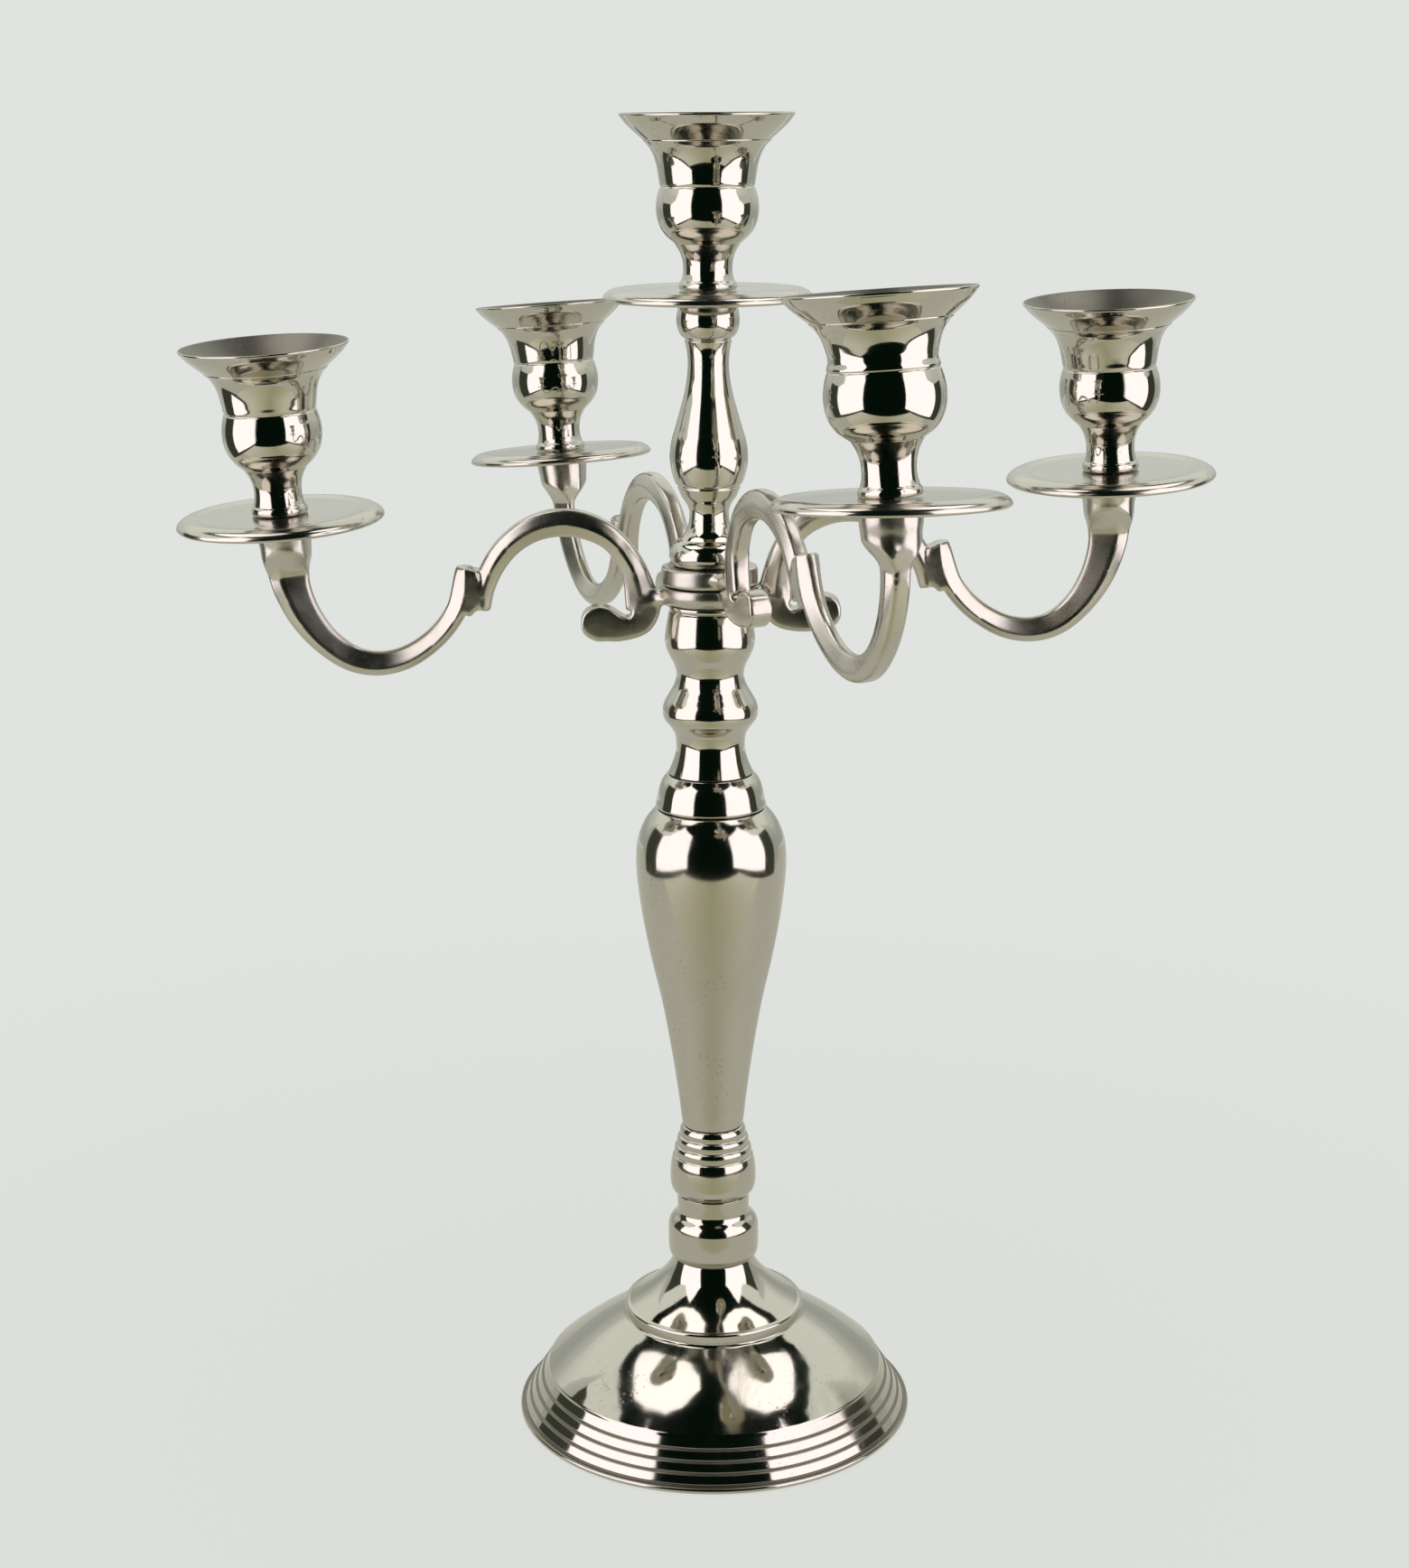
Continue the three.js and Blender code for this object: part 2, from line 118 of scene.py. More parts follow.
VASE = [
    [(3.4, 196.4), (3.4, 94.5)],
    [(3.4, 94.5), (9.3, 94.5)],
    [(9.3, 94.5), (9.75, 97.5), (10.3, 102.6), (12.6, 118.8), (15.3, 134.4), (18.8, 150.3),
     (21.6, 166.0), (22.7, 175.6), (22.85, 180.6), (22.55, 185.0), (21.8, 188.3), (20.0, 192.3),
     (18.3, 194.6), (16.9, 196.1)],
    [(16.9, 196.1), (16.4, 196.4)],
    [(16.4, 196.4), (3.4, 196.4)],
]
COLLAR = [
    [(3.4, 207.0), (3.4, 196.7)],
    [(3.4, 196.7), (16.4, 196.7)],
    [(16.4, 196.7), (16.75, 197.2), (16.3, 199.3), (15.7, 202.2), (14.7, 204.9), (13.2, 206.9)],
    [(13.2, 206.9), (12.9, 207.0)],
    [(12.9, 207.0), (3.4, 207.0)],
]
BALUSTER = [
    [(3.4, 258.6), (3.4, 207.3)],
    [(3.4, 207.3), (12.8, 207.3)],
    [(12.8, 207.3), (11.8, 209.6), (10.75, 212.8), (10.3, 216.3), (10.8, 219.4), (12.2, 221.8),
     (13.8, 223.9), (14.35, 226.2), (13.9, 228.6), (12.3, 231.6), (10.7, 234.6), (10.1, 237.4),
     (10.7, 240.4), (12.2, 243.4), (13.3, 246.4), (13.4, 249.0), (12.9, 252.6), (12.2, 256.4)],
    [(12.2, 256.4), (11.7, 257.0)],
    [(11.7, 257.0), (12.1, 257.5), (12.1, 258.6)],
    [(12.1, 258.6), (3.4, 258.6)],
]
UPPER_STEM = [
    [(0.0, 285.8), (3.4, 285.8)],
    [(3.4, 285.8), (3.4, 270.5)],
    [(3.4, 270.5), (10.7, 270.5)],
    [(10.7, 270.5), (11.6, 271.9), (11.9, 273.5), (11.5, 275.2), (10.4, 276.9), (9.1, 278.0)],
    [(9.1, 278.0), (8.6, 278.2)],
    [(8.6, 278.2), (7.2, 279.9), (6.2, 282.2), (5.8, 285.0), (6.0, 287.0), (6.8, 288.9),
     (8.0, 290.6), (9.2, 293.4)],
    [(9.2, 293.4), (8.9, 293.9)],
    [(8.9, 293.9), (9.7, 294.5), (10.8, 297.5), (11.45, 301.0), (11.4, 304.2), (10.9, 307.2),
     (9.9, 310.6), (8.3, 316.2), (6.9, 321.6), (6.15, 326.4), (6.0, 330.2), (6.4, 334.0),
     (6.9, 336.0)],
    [(6.9, 336.0), (6.6, 336.5)],
    [(6.6, 336.5), (7.9, 337.5), (8.9, 339.8), (9.15, 342.0), (8.95, 344.2), (8.6, 345.8)],
    [(8.6, 345.8), (8.6, 349.1)],
    [(8.6, 349.1), (2.9, 349.1)],
    [(2.9, 349.1), (2.9, 340.1)],
    [(2.9, 340.1), (0.0, 340.1)],
]
PAN = [
    [(3.1, 2.8), (3.1, 1.9)],
    [(3.1, 1.9), (24.6, 1.9), (26.6, 1.6), (28.2, 0.6)],
    [(28.2, 0.6), (29.0, 0.05), (29.8, 0.05), (30.3, 0.5), (30.35, 1.1), (29.9, 1.9), (28.9, 2.7),
     (27.6, 3.25), (26.4, 3.4), (25.0, 3.25), (23.2, 2.95), (20.4, 2.8)],
    [(20.4, 2.8), (3.1, 2.8)],
]
CUP = [
    [(0.0, 9.0), (2.9, 9.0)],
    [(2.9, 9.0), (2.9, -0.7)],
    [(2.9, -0.7), (8.2, -0.7)],
    [(8.2, -0.7), (8.45, -0.2), (8.4, 0.7), (8.1, 1.4)],
    [(8.1, 1.4), (7.7, 1.8)],
    [(7.7, 1.8), (7.25, 3.4), (7.1, 5.4), (7.35, 7.8), (8.1, 10.0), (9.5, 12.3)],
    [(9.5, 12.3), (9.9, 12.6)],
    [(9.9, 12.6), (11.8, 14.3), (13.5, 16.6), (14.5, 19.4), (14.8, 22.4), (14.5, 25.2),
     (13.75, 27.9)],
    [(13.75, 27.9), (13.4, 28.3)],
    [(13.4, 28.3), (13.65, 28.8), (14.0, 31.0), (14.6, 34.4), (15.5, 37.2), (16.9, 39.6),
     (18.3, 41.0)],
    [(18.3, 41.0), (18.35, 41.35)],
    [(18.35, 41.35), (21.0, 43.6), (23.2, 45.7), (24.7, 47.6)],
    [(24.7, 47.6), (25.15, 48.2), (25.0, 48.65), (24.5, 48.6)],
    [(24.5, 48.6), (21.4, 45.6), (17.2, 42.0), (13.4, 38.8), (11.8, 36.6), (11.3, 34.6)],
    [(11.3, 34.6), (11.3, 16.9)],
    [(11.3, 16.9), (10.8, 16.4)],
    [(10.8, 16.4), (0.0, 16.4)],
]

# Heights in the CUP profile, and how each hand-polished cup differs from it:
# (height of its ring, height of its rim, fullness of its body).
CUP_RING = 28.1
CUP_RIM = 48.65
BODY_TOP = 30.0
BODY_BOTTOM = 12.0
SOCKET_RADIUS = 11.4
CUP_FORMS = {
    "centre": (CUP_RING, CUP_RIM, 1.0),
    "left": (29.8, 49.4, 1.0),
    "right": (29.6, 49.4, 1.0),
    "front": (31.1, 50.8, 1.065),
    "back": (29.0, 49.0, 1.0),
}
# The front pan sits a little crooked under its cup, in degrees about its arm.
PAN_ROLL = {"front": -2.7}


def smooth_run(points):
    """Points close together along a centripetal Catmull-Rom curve through the given ones."""
    pts = [Vector(p) for p in points]
    if len(pts) == 2:
        return pts
    ends = [pts[0] * 2 - pts[1]] + pts + [pts[-1] * 2 - pts[-2]]
    out = [pts[0]]
    for p0, p1, p2, p3 in zip(ends, ends[1:], ends[2:], ends[3:]):
        t1 = (p1 - p0).length ** 0.5
        t2 = t1 + (p2 - p1).length ** 0.5
        t3 = t2 + (p3 - p2).length ** 0.5
        count = max(2, math.ceil((p2 - p1).length / CURVE_STEP))
        for i in range(1, count + 1):
            t = t1 + (t2 - t1) * i / count
            a1 = p0 * ((t1 - t) / t1) + p1 * (t / t1)
            a2 = p1 * ((t2 - t) / (t2 - t1)) + p2 * ((t - t1) / (t2 - t1))
            a3 = p2 * ((t3 - t) / (t3 - t2)) + p3 * ((t - t2) / (t3 - t2))
            b1 = a1 * ((t2 - t) / t2) + a2 * (t / t2)
            b2 = a2 * ((t3 - t) / (t3 - t1)) + a3 * ((t - t1) / (t3 - t1))
            out.append(b1 * ((t2 - t) / (t2 - t1)) + b2 * ((t - t1) / (t2 - t1)))
    return out


def trimmed(points, cut):
    """The polyline without its first `cut` millimetres."""
    left = cut
    for i in range(len(points) - 1):
        step = points[i + 1] - points[i]
        if step.length > left:
            return [points[i] + step * (left / step.length)] + points[i + 1:]
        left -= step.length
    return points[-2:]


def run_length(points):
    """The length of a polyline."""
    return sum((b - a).length for a, b in zip(points, points[1:]))


def with_supports(points):
    """Adds a point close to each end, so that flat stretches shade flat right up to their edges."""
    if run_length(points) < 4 * SUPPORT:
        return points
    inner = trimmed(points, SUPPORT)
    inner = trimmed(inner[::-1], SUPPORT)[::-1]
    return [points[0]] + inner + [points[-1]]


def rounded_profile(runs):
    """Joins the runs, with a small round at every edge where two runs meet."""
    curves = [smooth_run(run) for run in runs]
    cuts = []
    for a, b in zip(curves, curves[1:]):
        cuts.append(min(FILLET, FILLET_SHARE * run_length(a), FILLET_SHARE * run_length(b)))
    out = []
    for i, curve in enumerate(curves):
        body = curve
        if i > 0:
            body = trimmed(body, cuts[i - 1])
        if i < len(curves) - 1:
            body = trimmed(body[::-1], cuts[i])[::-1]
        out += with_supports(body)
        if i < len(curves) - 1:
            corner = curve[-1]
            start = body[-1]
            end = trimmed(curves[i + 1], cuts[i])[0]
            for k in range(1, FILLET_POINTS):
                t = k / FILLET_POINTS
                out.append(start * (1 - t) ** 2 + corner * (2 * t * (1 - t)) + end * t ** 2)
    return out


def new_object(name, vertices, faces, matrix=None):
    """A smooth-shaded mesh object from vertices in millimetres, placed by a matrix in metres."""
    mesh = bpy.data.meshes.new(name)
    mesh.from_pydata([Vector(v) * MM for v in vertices], [], faces)
    mesh.validate()
    mesh.shade_smooth()
    obj = bpy.data.objects.new(name, mesh)
    bpy.context.scene.collection.objects.link(obj)
    if matrix is not None:
        obj.matrix_world = matrix
    return obj


def turned_mesh(profile, closed):
    """Vertices and faces of a profile of (radius, height) turned about Z, facing out."""
    vertices = []
    rows = []
    for r, z in profile:
        if r < ON_AXIS:
            rows.append([len(vertices)])
            vertices.append((0.0, 0.0, z))
            continue
        rows.append(list(range(len(vertices), len(vertices) + TURN_SEGMENTS)))
        for k in range(TURN_SEGMENTS):
            a = 2 * math.pi * k / TURN_SEGMENTS
            vertices.append((r * math.cos(a), r * math.sin(a), z))
    faces = []
    pairs = list(zip(rows, rows[1:]))
    if closed:
        pairs.append((rows[-1], rows[0]))
    for low, high in pairs:
        for k in range(TURN_SEGMENTS):
            n = (k + 1) % TURN_SEGMENTS
            if len(low) == 1 and len(high) == 1:
                continue
            if len(low) == 1:
                faces.append((low[0], high[n], high[k]))
            elif len(high) == 1:
                faces.append((low[k], low[n], high[0]))
            else:
                faces.append((low[k], low[n], high[n], high[k]))
    return vertices, faces


def turned(name, runs, matrix=None):
    """A turned piece. Its profile either starts and ends on the axis or closes round a bore."""
    profile = rounded_profile(runs)
    closed = profile[0].x > ON_AXIS
    if closed:
        profile = profile[:-1]
    vertices, faces = turned_mesh([(p.x, p.y) for p in profile], closed)
    return new_object(name, vertices, faces, matrix)


# Arm castings. Rows are (reach, height above the arm frame's origin, half depth of the bar).
ARCH = [
    (20.9, -4.0, 4.3), (20.5, 0.6, 4.7), (21.2, 5.0, 4.2), (23.0, 10.6, 3.65), (28.2, 18.0, 3.6),
    (35.7, 22.3, 4.0), (43.0, 23.5, 4.1), (50.6, 22.2, 3.9), (57.9, 17.9, 3.6), (63.4, 11.6, 3.45),
    (66.6, 4.7, 3.1), (67.6, -1.4, 2.5),
]
LOOP = [
    (72.2, 12.0, 2.2), (72.7, 8.6, 2.8), (73.2, 5.0, 3.2), (75.0, -0.5, 3.2), (79.2, -6.3, 3.2),
    (84.9, -11.2, 3.3), (92.1, -14.9, 3.5), (100.1, -16.0, 3.7), (107.4, -14.1, 3.9),
    (114.4, -8.7, 4.2), (120.1, -0.6, 4.9), (123.3, 8.3, 5.6), (123.9, 14.0, 6.3),
    (124.0, 18.0, 7.2), (124.1, 22.0, 7.9), (124.4, 25.5, 8.3), (124.6, 28.4, 8.1),
    (124.7, 29.3, 7.8),
]
WEB = [(69.3, 11.0, 1.3), (69.8, 8.2, 2.4), (70.2, 4.0, 3.0), (70.9, 0.5, 2.4), (72.4, -2.4, 1.5)]
TAIL = [
    (18.4, 0.5, 3.6), (18.8, -3.5, 4.0), (20.9, -7.4, 3.8), (24.2, -9.1, 3.3), (28.0, -8.8, 4.2),
    (31.4, -7.6, 5.2), (33.8, -7.2, 5.35), (36.2, -7.1, 4.5), (37.7, -7.1, 3.3), (38.6, -7.1, 1.5),
]
ROOT = [
    (7.0, -0.2, 2.1), (14.2, -0.3, 2.3), (15.8, -0.6, 3.2), (18.2, -1.2, 3.9), (21.4, -1.8, 4.0),
]
NOMINAL_REACH = 124.7

# Sections of the bars. Shares are what is left of the width at a section's two narrow ends.
BAR_HALF_WIDTH = 3.7
FLAT_HALF_WIDTH = 3.5
ROOT_HALF_WIDTH = 8.5
ROOT_FLARE_END = 17.5
ROOT_FLARE_LENGTH = 6.0
ARCH_SHARES = (0.52, 0.66)
LOOP_SHARES = (0.28, 0.60)
FLAT_SHARE = 0.94
LOOP_RIDGE = -0.36
RIDGE_FADE = 9.0
SECTION_FILLET = 0.8
RIDGE_FILLET = 0.3
FILLET_ROOM = 0.45
NO_LIMIT = 100.0

# Where the loop's bar swells into the round boss under its light, and by how much.
BOSS_REACH = 100.0
SWELL_START = 8.5
CHAMFER_LOW = 12.5
CHAMFER_HIGH = 20.0
ROUNDING_LENGTH = 9.0
BOSS_WIDTH = 1.02
LOOSE_LIMIT = 1.18
TIGHTENING = 0.18

# The castings' skin, in millimetres and passes.
CAST_GRAIN = 0.30
CAST_SMOOTHING = 44

# Angles are in degrees. reach is for each side, hub is the height of the ring's underside, and rim
# is the ring's lower radius and the height of its bevel.
HUB_RADIUS = 14.4
HUB_TAPER = 0.1
CASTINGS = {
    "lower": {
        "heading": 180.0, "reach": (124.7, 119.0), "rise": -2.7, "lean": -2.3,
        "hub": 258.9, "rim": (12.6, 2.4),
    },
    "upper": {
        "heading": -68.3, "reach": (128.0, 131.0), "rise": 4.1, "lean": 2.2,
        "hub": 264.7, "rim": (14.2, 0.4),
    },
}


def share(value):
    """The value held between 0 and 1."""
    return min(1.0, max(0.0, value))


def corner_points(before, corner, after, cut):
    """A small round at one corner of a section, as a quadratic curve."""
    a = Vector(before) - Vector(corner)
    b = Vector(after) - Vector(corner)
    a = a.normalized() * min(cut, FILLET_ROOM * a.length)
    b = b.normalized() * min(cut, FILLET_ROOM * b.length)
    out = []
    for k in range(FILLET_POINTS + 1):
        t = k / FILLET_POINTS
        out.append(Vector(corner) + a * (1 - t) ** 2 + b * t ** 2)
    return out


def bar_section(depth, width, flatness, ridge, shares, limit):
    """Six-sided section (depth, width) with rounded edges, kept inside a circle of radius limit.

    The broad sides meet in a ridge, at `ridge` times the depth, that fades out as flatness nears 1.
    shares are the widths left at the two narrow ends, as parts of the whole width.
    """
    high, low = (width * (part + (1 - part) * flatness) for part in shares)
    corners = [
        ((depth, -high), SECTION_FILLET), ((depth, high), SECTION_FILLET),
        ((ridge * depth, width), RIDGE_FILLET), ((-depth, low), SECTION_FILLET),
        ((-depth, -low), SECTION_FILLET), ((ridge * depth, -width), RIDGE_FILLET),
    ]
    points = []
    for i, (corner, cut) in enumerate(corners):
        before = corners[i - 1][0]
        after = corners[(i + 1) % len(corners)][0]
        points += corner_points(before, corner, after, cut)
        for t in (0.25, 0.5, 0.75):
            points.append(Vector(corner).lerp(Vector(after), t))
    return [p * min(1.0, limit / p.length) for p in points]


def boss_blend(reach, height, half, width):
    """How the loop's bar swells into the round boss: (width, flatness, limit)."""
    if reach < BOSS_REACH or height < SWELL_START:
        return width, 0.0, NO_LIMIT
    t = share((height - CHAMFER_LOW) / (CHAMFER_HIGH - CHAMFER_LOW))
    rounding = share((height - CHAMFER_LOW) / ROUNDING_LENGTH)
    limit = half * (LOOSE_LIMIT - TIGHTENING * rounding)
    return width + (half * BOSS_WIDTH - width) * t, t, limit


def swept_bar(rows, scale=1.0, kind="arch"):
    """Vertices and faces of a bar along a curve in the arm's plane, with closed ends."""
    line = smooth_run([(reach * scale, height, half) for reach, height, half in rows])
    vertices = []
    count = 0
    for i, p in enumerate(line):
        before = line[max(i - 1, 0)]
        after = line[min(i + 1, len(line) - 1)]
        along = Vector((after.x - before.x, after.y - before.y)).normalized()
        outward = Vector((-along.y, along.x))
        width = BAR_HALF_WIDTH
        flatness = 0.0
        limit = NO_LIMIT
        ridge = 0.0
        shares = ARCH_SHARES
        if kind == "loop":
            shares = LOOP_SHARES
            ridge = LOOP_RIDGE * (1 - share((p.y - CHAMFER_LOW) / RIDGE_FADE))
            width, flatness, limit = boss_blend(p.x, p.y, p.z, width)
        elif kind == "flat":
            flatness = FLAT_SHARE
            width = FLAT_HALF_WIDTH
        elif kind == "root":
            flare = share((ROOT_FLARE_END - p.x) / ROOT_FLARE_LENGTH)
            width += (ROOT_HALF_WIDTH - width) * flare * flare
        ring = bar_section(p.z, width, flatness, ridge, shares, limit)
        count = len(ring)
        for d, w in ring:
            vertices.append((p.x + outward.x * d, w, p.y + outward.y * d))
    rings = len(vertices) // count
    faces = []
    for i in range(rings - 1):
        for j in range(count):
            a = i * count + j
            b = i * count + (j + 1) % count
            faces.append((a, a + count, b + count, b))
    faces.append(tuple(range(count)))
    last = (rings - 1) * count
    faces.append(tuple(last + j for j in reversed(range(count))))
    return vertices, faces


def casting_frame(casting):
    """Places the tilted plane of a casting's arms: reach along X, height along Z."""
    lift = Matrix.Translation((0, 0, (casting["hub"] + HUB_BELOW) * MM))
    turn = Matrix.Rotation(math.radians(casting["heading"]), 4, "Z")
    lean = Matrix.Rotation(math.radians(casting["lean"]), 4, "X")
    rise = Matrix.Rotation(math.radians(-casting["rise"]), 4, "Y")
    return lift @ turn @ lean @ rise


def fused(obj):
    """Melts overlapping closed shells into one skin with soft cast edges."""
    remesh = obj.modifiers.new("fuse", "REMESH")
    remesh.mode = "VOXEL"
    remesh.voxel_size = CAST_GRAIN * MM
    remesh.use_smooth_shade = True
    soften = obj.modifiers.new("soften", "SMOOTH")
    soften.factor = 0.5
    soften.iterations = CAST_SMOOTHING
    bpy.context.view_layer.update()
    evaluated = obj.evaluated_get(bpy.context.evaluated_depsgraph_get())
    mesh = bpy.data.meshes.new_from_object(evaluated)
    obj.modifiers.clear()
    obj.data = mesh
    mesh.shade_smooth()


def arm_casting(name, casting):
    """A hub ring with a scroll arm on either side, as one skin."""
    vertices = []
    faces = []

    def add(part, matrix):
        start = len(vertices)
        for v in part[0]:
            vertices.append(matrix @ (Vector(v) * MM) / MM)
        for f in part[1]:
            faces.append(tuple(start + i for i in f))

    hub = casting["hub"]
    top = hub + HUB_HEIGHT
    low_radius, mid_height = casting["rim"]
    ring = [
        [(BORE, top), (BORE, hub)],
        [(BORE, hub), (low_radius, hub)],
        [(low_radius, hub), (HUB_RADIUS, hub + mid_height)],
        [(HUB_RADIUS, hub + mid_height), (HUB_RADIUS - HUB_TAPER, top)],
        [(HUB_RADIUS - HUB_TAPER, top), (BORE, top)],
    ]
    profile = rounded_profile(ring)[:-1]
    add(turned_mesh([(p.x, p.y) for p in profile], True), Matrix.Identity(4))
    for side, reach in enumerate(casting["reach"]):
        place = casting_frame(casting) @ Matrix.Rotation(side * math.pi, 4, "Z")
        scale = reach / NOMINAL_REACH
        add(swept_bar(ARCH, scale), place)
        add(swept_bar(LOOP, scale, "loop"), place)
        add(swept_bar(WEB, scale, "flat"), place)
        add(swept_bar(TAIL, 1.0, "flat"), place)
        add(swept_bar(ROOT, 1.0, "root"), place)
    obj = new_object(name, vertices, faces)
    fused(obj)
    return obj


# ---------------------------------------------------------------- finishes


class Shader:
    """A small helper that adds and links nodes."""

    def __init__(self, name):
        self.material = bpy.data.materials.new(name)
        self.material.use_nodes = True
        self.tree = self.material.node_tree
        self.tree.nodes.clear()
        self.out = self.node("ShaderNodeOutputMaterial")
        self.bsdf = self.node("ShaderNodeBsdfPrincipled")
        self.tree.links.new(self.bsdf.outputs["BSDF"], self.out.inputs["Surface"])
        self.texture = self.node("ShaderNodeTexCoord")
        self.coords = self.texture.outputs["Object"]

    def node(self, kind, **settings):
        made = self.tree.nodes.new(kind)
        for key, value in settings.items():
            setattr(made, key, value)
        return made

    def put(self, socket, value):
        if isinstance(value, bpy.types.NodeSocket):
            self.tree.links.new(value, socket)
        else:
            socket.default_value = value

    def math(self, operation, a, b=0.0, clamp=False):
        n = self.node("ShaderNodeMath", operation=operation, use_clamp=clamp)
        self.put(n.inputs[0], a)
        self.put(n.inputs[1], b)
        return n.outputs[0]

    def scaled(self, vector, x, y, z):
        n = self.node("ShaderNodeVectorMath", operation="MULTIPLY")
        self.put(n.inputs[0], vector)
        n.inputs[1].default_value = (x, y, z)
        return n.outputs[0]

    def noise(self, vector, scale, detail=3.0, roughness=0.55, distortion=0.0):
        n = self.node("ShaderNodeTexNoise")
        self.put(n.inputs["Vector"], vector)
        n.inputs["Scale"].default_value = scale
        n.inputs["Detail"].default_value = detail
        n.inputs["Roughness"].default_value = roughness
        n.inputs["Distortion"].default_value = distortion
        return n.outputs["Fac"]

    def spots(self, vector, scale, size):
        """1 in small round spots scattered over the surface, 0 between them."""
        n = self.node("ShaderNodeTexVoronoi", feature="F1")
        self.put(n.inputs["Vector"], vector)
        n.inputs["Scale"].default_value = scale
        n.inputs["Randomness"].default_value = 1.0
        return self.ramp(n.outputs["Distance"], size, 0.0)

    def ramp(self, value, low, high, to_low=0.0, to_high=1.0):
        n = self.node("ShaderNodeMapRange", clamp=True)
        self.put(n.inputs["Value"], value)
        n.inputs["From Min"].default_value = low
        n.inputs["From Max"].default_value = high
        n.inputs["To Min"].default_value = to_low
        n.inputs["To Max"].default_value = to_high
        return n.outputs["Result"]

    def mix(self, fac, a, b):
        n = self.node("ShaderNodeMix", data_type="RGBA")
        self.put(n.inputs["Factor"], fac)
        self.put(n.inputs["A"], a)
        self.put(n.inputs["B"], b)
        return n.outputs["Result"]

    def bump(self, height, distance, normal=None):
        n = self.node("ShaderNodeBump")
        self.put(n.inputs["Height"], height)
        n.inputs["Distance"].default_value = distance
        if normal is not None:
            self.put(n.inputs["Normal"], normal)
        return n.outputs["Normal"]

    def outwardness(self):
        """How much the surface faces away from the object's own axis: below 0 inside a hollow."""
        flat = self.scaled(self.coords, 1.0, 1.0, 0.0)
        unit = self.node("ShaderNodeVectorMath", operation="NORMALIZE")
        self.put(unit.inputs[0], flat)
        facing = self.node("ShaderNodeVectorMath", operation="DOT_PRODUCT")
        self.put(facing.inputs[0], unit.outputs[0])
        self.put(facing.inputs[1], self.texture.outputs["Normal"])
        return facing.outputs["Value"]

    def around(self):
        """Coordinates (angle, radius, height) round the object's own axis."""
        split = self.node("ShaderNodeSeparateXYZ")
        self.put(split.inputs[0], self.coords)
        x, y, z = split.outputs
        angle = self.math("ARCTAN2", y, x)
        squares = self.math("ADD", self.math("MULTIPLY", x, x), self.math("MULTIPLY", y, y))
        radius = self.math("SQRT", squares)
        join = self.node("ShaderNodeCombineXYZ")
        self.put(join.inputs[0], angle)
        self.put(join.inputs[1], radius)
        self.put(join.inputs[2], z)
        return join.outputs[0], z


NICKEL = (0.55, 0.528, 0.45, 1.0)
NICKEL_DULL = (0.43, 0.41, 0.325, 1.0)
# The darkest colour: real grime in the pits, and painted shade in the foot's grooves.
PIT_GRIME_AND_GROOVE_SHADE = (0.16, 0.145, 0.105, 1.0)
HOLLOW_INSIDE_TINT = (0.20, 0.195, 0.155, 1.0)
STEEL_LIGHT = (0.5, 0.5, 0.5, 1)
STEEL_DARK = (0.38, 0.37, 0.36, 1)

# Heights of the grooves round the foot's edge, in metres, and how much of a step gets painted
# shade.
GROOVE_START = 0.00195
GROOVE_STEP = 0.00295
GROOVE_END = 0.0118
GROOVE_FULL_SHADE = 0.07
GROOVE_SHADE_EDGE = 0.15

# Depths of the surface's waves, turning lines and grain, in metres.
WAVE_DEPTH = 0.00006
LINE_DEPTH = 0.0000014
GRAIN_DEPTH = 0.0000012
STEEL_LINE_DEPTH = 0.00001
PIT_SINK = 6.0

# How much roughness each kind of wear adds, and the most there can be.
STAIN_ROUGH = 0.16
PIT_ROUGH = 0.25
GROOVE_ROUGH = 0.25
HOLLOW_ROUGH = 0.3
SATIN_ROUGH = (0.25, 0.27)
MOST_ROUGH = 0.6


